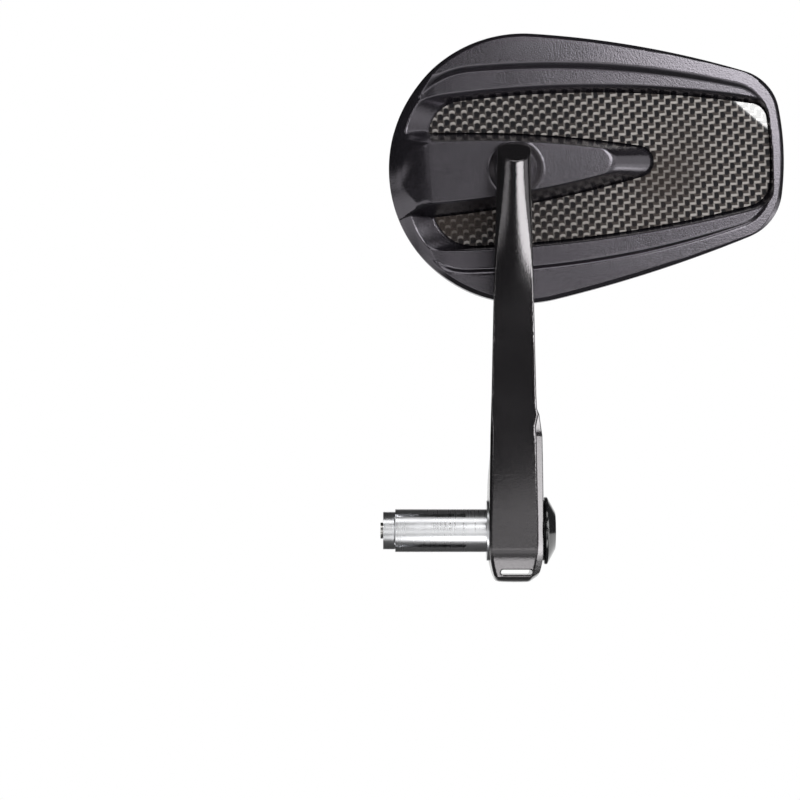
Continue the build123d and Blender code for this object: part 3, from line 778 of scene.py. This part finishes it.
def turnedCap(finish):
    s = capSizes
    outline = bpy.data.curves.new("capOutline", "CURVE")
    outline.dimensions = "3D"
    spline = outline.splines.new("POLY")
    spline.points.add(len(s["outline"]) - 1)
    for point, (radius, x) in zip(spline.points, s["outline"]):
        point.co = ((radius - s["path"]) * mm, -x * mm, 0, 1)
    spline.use_cyclic_u = True
    draft = placed("capDraft", outline)
    lathe = draft.modifiers.new("lathe", "NODES")
    lathe.node_group = latheTree(finish)
    values = {"Path": s["path"] * mm, "Fillet": s["fillet"] * mm}
    values |= {"Fillet Steps": s["filletSteps"], "Turn Steps": s["turnSteps"]}
    for item in lathe.node_group.interface.items_tree:
        if item.name in values and item.in_out == "INPUT":
            lathe[item.identifier] = values[item.name]
    ready = draft.evaluated_get(bpy.context.evaluated_depsgraph_get())
    mesh = bpy.data.meshes.new_from_object(ready)
    bpy.data.objects.remove(draft)
    mesh.shade_smooth()
    mesh.set_sharp_from_angle(angle=radians(s["sharp"]))
    spots = np.array([v.co for v in mesh.vertices]) / mm
    print("turned cap:", len(spots), "points, box", spots.min(0).round(2), spots.max(0).round(2))
    return placed("turned_cap", mesh)


gloss = glossBlack(capLook)
cap = turnedCap(gloss)
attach(cap, "bar_end")
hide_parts("end_cap")


# lacquered twill: dark ovals of painted shade under pale caps of painted fibre sheen, stepped towards the small end
carbonLook = {
    "across": 2.32, "along": 2.2, "wobble": 0.25, "stairs": (5.0, 50.0),  # mm
    # pale colours the painted fibre sheen, dark the ovals of painted shade, mid lies between them
    "pale": (0.54, 0.505, 0.48, 1), "mid": (0.095, 0.078, 0.070, 1),
    "dark": (0.0035, 0.003, 0.0055, 1), "brown": (0.045, 0.032, 0.026, 1),
    "haze": 0.25, "paintedShadeSpots": [(58.0, -7.0, 17.0, 13.0, 0.5), (-22.0, -19.0, 18.0, 9.0, 0.8)],  # spots of painted shade with a painted brown reflection: middle, reach, strength
    "cloth": {"Roughness": 0.4, "Specular IOR Level": 0.1},
    "lacquer": {"Coat Weight": 1.0, "Coat Roughness": 0.015, "Coat IOR": 2.0},
}


def lacqueredTwill(look):
    finish, shader, place = newFinish("lacqueredTwill", look["cloth"] | look["lacquer"])
    back = headFrame.inverted()
    values = {"Vector": place, "Rotation": back.to_euler("XYZ"), "Location": back.translation}
    flat = place.node("ShaderNodeMapping", {"vector_type": "POINT"}, values)
    u = flat.node("ShaderNodeSeparateXYZ", {}, {0: flat}, out="X") / mm
    v = flat.node("ShaderNodeSeparateXYZ", {}, {0: flat}, out="Y") / mm
    a = u / look["across"] + (flat.noise(210.0, 1.0) - 0.5) * look["wobble"]  # columns
    b = v / look["along"] + (flat.noise(190.0, 1.0) - 0.5) * look["wobble"]  # rows
    column = a.floor()
    lift = (b - column - 0.5).wrapped(-1, 1)  # height above the float's middle, in rows
    sideways = abs(a - column - 0.5)
    # towards the small end the caps turn to steps and the painted sheen grows brighter
    stairs = u.eased(*look["stairs"])
    arch = lift + sideways * sideways * (0.9 - stairs * 0.9)  # caps arch at the broad end
    cap = arch.eased(0.34, 0.46, 1.0, 0.0) * arch.eased(-0.22 + stairs * 0.1, 0.1)
    cap = cap * sideways.eased(0.36, 0.56, 1.0, stairs)
    border = (a + 0.5).floor()
    riser = abs(a - border - 0.04).eased(0.05, 0.2, 1.0, 0.0)  # pale upright of painted sheen between two caps
    riser = riser * abs((b - border).wrapped(-1, 1)).eased(0.35, 0.6, 1.0, 0.0)
    # painted fibre sheen: caps and risers that catch the light, put into the colour as pale
    pale = cap.larger(riser * (0.2 + stairs * 0.55))
    below = (lift + 0.6).wrapped(-1, 1) / 0.56
    aside = sideways / 0.46
    oval = (aside * aside + below * below).eased(0.6, 1.35, 1.0, 0.0)  # the shaded end of each float
    fibre = flat.stretched((260.0, 3600.0, 1.0)).noise(1.0)
    cloth = ((1.0 - oval) * (0.4 + fibre * 0.6) * (0.55 + stairs * 0.45)).tint(look["dark"], look["mid"])
    cloth = (pale * (0.5 + fibre * 0.65 + stairs * 0.15)).tint(cloth, look["pale"])
    haze = flat.noise(24.0, 1.0).eased(0.52, 0.75) * look["haze"]
    # soft spots of painted shade with a painted brown reflection, laid over the random haze
    for middleU, middleV, reachU, reachV, strength in look["paintedShadeSpots"]:
        awayU, awayV = (u - middleU) / reachU, (v - middleV) / reachV
        haze = haze.larger((awayU * awayU + awayV * awayV).eased(0.1, 1.1, strength, 0.0))
    haze.tint(cloth, look["brown"]).feeds(shader, "Base Color")
    pale.bumped(0.00003, 0.4).feeds(shader, "Normal")
    return finish


twill = lacqueredTwill(carbonLook)


# metals, plastics and glass for the parts that keep their solid
steelLook = {"colour": (0.60, 0.59, 0.57, 1), "roughness": 0.26, "marks": 2600.0, "relief": 0.000006}
alloyLook = {"colour": (0.74, 0.745, 0.76, 1), "roughness": 0.3, "marks": 1800.0, "relief": 0.000006}
nylonLook = {
    "shine": 0.45, "scale": 350.0, "detail": 3.0, "dark": (0.020, 0.020, 0.021, 1), "light": (0.045, 0.045, 0.047, 1),
    "roughness": 0.45, "roughPatches": 0.15, "relief": 0.00001,
}
foamLook = {
    "shine": 0.25, "scale": 1500.0, "detail": 2.0, "dark": gray(0.012), "light": gray(0.04),
    "roughness": 0.8, "roughPatches": 0.15, "relief": 0.00008,
}
glassLook = {
    "smear": (14.0, 14.0, 60.0), "smearEdge": (0.45, 0.85), "roughness": (0.015, 0.05),
    "dark": (0.86, 0.88, 0.89, 1), "light": (0.91, 0.925, 0.93, 1),
}


def turnedMetal(name, look):  # fine lathe marks along the bar
    finish, shader, place = newFinish(name, {"Metallic": 1.0})
    rings = place.stretched((look["marks"], 40.0, 40.0)).noise(1.0, 3.0)
    cloud = place.noise(90.0)
    worn = [part * 0.8 for part in look["colour"][:3]] + [1]
    (0.25 + rings * 0.5 + cloud * 0.25).tint(worn, look["colour"]).feeds(shader, "Base Color")
    (look["roughness"] + (rings - 0.5) * 0.18 + (cloud - 0.5) * 0.1).feeds(shader, "Roughness")
    rings.bumped(look["relief"]).feeds(shader, "Normal")
    return finish


def cloudedPlastic(name, look):
    finish, shader, place = newFinish(name, {"Specular IOR Level": look["shine"]})
    cloud = place.noise(look["scale"], look["detail"])
    cloud.tint(look["dark"], look["light"]).feeds(shader, "Base Color")
    (look["roughness"] + cloud * look["roughPatches"]).feeds(shader, "Roughness")
    cloud.bumped(look["relief"]).feeds(shader, "Normal")
    return finish


def silveredGlass(name, look):
    finish, shader, place = newFinish(name, {"Metallic": 1.0})
    smear = place.stretched(look["smear"]).noise(1.0)
    smear.tint(look["dark"], look["light"]).feeds(shader, "Base Color")
    smear.eased(*look["smearEdge"], *look["roughness"]).feeds(shader, "Roughness")
    return finish


steel, alloy = turnedMetal("brushedSteel", steelLook), turnedMetal("bareAlloy", alloyLook)
nylon, foam = cloudedPlastic("nylon", nylonLook), cloudedPlastic("foam", foamLook)
glass = silveredGlass("silveredGlass", glassLook)
nodeFinish = {
    "bar_adapter": alloy, "expander_sleeve": alloy, "expander_cone_nut": alloy, "expander_bolt": steel,
    "spring_washer": steel, "end_cap": gloss, "inner_thrust_washer": nylon, "outer_thrust_washer": nylon,
    "arm": armSatin, "ball_stud": steel, "ball_liner": nylon, "ball_rear_seat": nylon, "seat_spring": steel,
    "mirror_housing": headSatin, "inlay_tape": foam, "carbon_inlay": twill, "clamp_plate": alloy,
    "clamp_screws": steel, "glass_pad": foam, "mirror_glass": glass,
}
for name, finish in nodeFinish.items():
    slots = frame["nodes"][name].data.materials
    slots.clear()
    slots.append(finish)
print("finishes set on", len(nodeFinish), "nodes")


# studio: pale floor, white surroundings for the camera, soft boxes either side of the camera
studio = {
    "floorDrop": 0.18, "floorSize": 6.0, "floorColour": (0.80, 0.80, 0.80, 1), "dim": 0.04, "flag": 0.75,
    "backdrop": (0.82, 0.95), "floorGlow": 0.55, "fade": (0.3, 0.85),
    "boxes": [  # place, aim, width and height, brightness, shape, spread
        ("keyBox", (0.5405, -1.440, 0.576), (0.02, 0.0, 0.11), (0.8, 0.8), 7.5, "DISK", 180),
        ("sideBox", (1.126, -1.068, 0.55), (0.02, 0.0, 0.11), (1.0, 1.0), 0.8, "DISK", 180),
        ("noseBox", (1.535, -0.45, 0.24), (0.02, 0.0, 0.14), (0.8, 1.3), 0.9, "RECTANGLE", 180),
        ("leftBox", (-0.776, -1.325, 0.524), (0.02, 0.0, 0.11), (0.4, 0.4), 3.0, "DISK", 180),
        ("topBox", (0.15, -0.92, 1.42), (0.02, 0.0, 0.11), (1.0, 0.6), 2.2, "RECTANGLE", 180),
        ("fillBox", (0.0, -1.56, 0.088), (0.0, 0.0, 0.088), (0.7, 0.096), 1.2, "RECTANGLE", 180),
        ("lowBox", (0.02, -1.559, -0.26), (0.02, 0.0, 0.11), (1.5, 0.5), 1.1, "RECTANGLE", 180),
        ("edgeBox", (0.24, 0.0, -0.035), (0.02, 0.0, -0.015), (0.12, 0.22), 0.64, "RECTANGLE", 60),
        ("footGlow", (0.011, -0.095, -0.092), (0.011, -0.012, -0.014), (0.09, 0.07), 0.2, "RECTANGLE", 40),
    ],
}


def pickRays(wire):  # rays from the camera, and rays by way of shine or glass
    kinds = ("Is Camera Ray", "Is Glossy Ray", "Is Transmission Ray")
    camera, glossy, through = (wire.node("ShaderNodeLightPath", out=kind) for kind in kinds)
    return camera, glossy.larger(through)


def whiteWorld():
    world = bpy.data.worlds.new("studio")
    bpy.context.scene.world = world
    world.use_nodes = True
    tree = world.node_tree
    shader = tree.nodes["Background"]
    wire = Wire(tree)
    camera, shiny = pickRays(wire)
    facing = wire.node("ShaderNodeTexCoord", out="Generated")
    behind = wire.node("ShaderNodeSeparateXYZ", {}, {0: facing}, out="Y").eased(*studio["backdrop"])
    level = studio["dim"] + camera.larger(shiny * behind) * (1 - studio["dim"])
    shader.inputs["Color"].default_value = gray(1.0)
    level.feeds(shader, "Strength")


def paleFloor():
    half = studio["floorSize"] / 2
    z = cadBox[0].z - studio["floorDrop"]
    corners = [(-half, -half, z), (half, -half, z), (half, half, z), (-half, half, z)]
    finish, shader, place = newFinish("paleFloor", {"Base Color": studio["floorColour"], "Roughness": 0.9})
    tree = finish.node_tree
    camera, shiny = pickRays(place)
    (1 - shiny * studio["flag"]).tint(gray(0.0), studio["floorColour"]).feeds(shader, "Base Color")
    far = place.node("ShaderNodeVectorMath", {"operation": "LENGTH"}, {0: place}, out="Value").eased(*studio["fade"])
    glow = place.node("ShaderNodeEmission", {}, {"Color": gray(1.0), "Strength": 1.0}, out="Emission")
    bright = (camera * studio["floorGlow"]).larger(camera.larger(shiny) * far)
    mixed = place.node("ShaderNodeMixShader", {}, {0: bright})
    mixer = mixed.socket.node
    tree.links.new(shader.outputs[0], mixer.inputs[1])
    tree.links.new(glow.socket, mixer.inputs[2])
    output = next(n for n in tree.nodes if n.type == "OUTPUT_MATERIAL")
    tree.links.new(mixed.socket, output.inputs["Surface"])
    floor = plainObject("floor", corners, [(0, 1, 2, 3)], finish)


def softBox(name, place, aim, size, strength, shape, spread):
    lamp = bpy.data.lights.new(name, "AREA")
    lamp.shape = shape
    lamp.size = size[0]
    area = pi / 4 * size[0] ** 2
    if shape == "RECTANGLE":
        lamp.size_y = size[1]
        area = size[0] * size[1]
    lamp.energy = strength * area * pi  # strength is the box's own brightness
    lamp.spread = radians(spread)
    box = placed(name, lamp)
    box.location = place
    box.rotation_euler = (Vector(aim) - Vector(place)).to_track_quat("-Z", "Y").to_euler()


cameraLook = {"place": (-0.03225, -0.99505, 0.00616), "tilt": 2.448, "lens": 120.0, "sensor": 36.0, "reach": 50.0}


def photoCamera():
    lens = bpy.data.cameras.new("photoCamera")
    lens.lens = cameraLook["lens"]
    lens.sensor_width = cameraLook["sensor"]
    lens.clip_end = cameraLook["reach"]
    camera = placed("photoCamera", lens)
    camera.location = cameraLook["place"]
    camera.rotation_euler = Euler((radians(90 + cameraLook["tilt"]), 0, 0))
    bpy.context.scene.camera = camera


whiteWorld()
paleFloor()
for box in studio["boxes"]:
    softBox(*box)
photoCamera()
bpy.context.scene.view_settings.view_transform = "Standard"
print("studio ready")
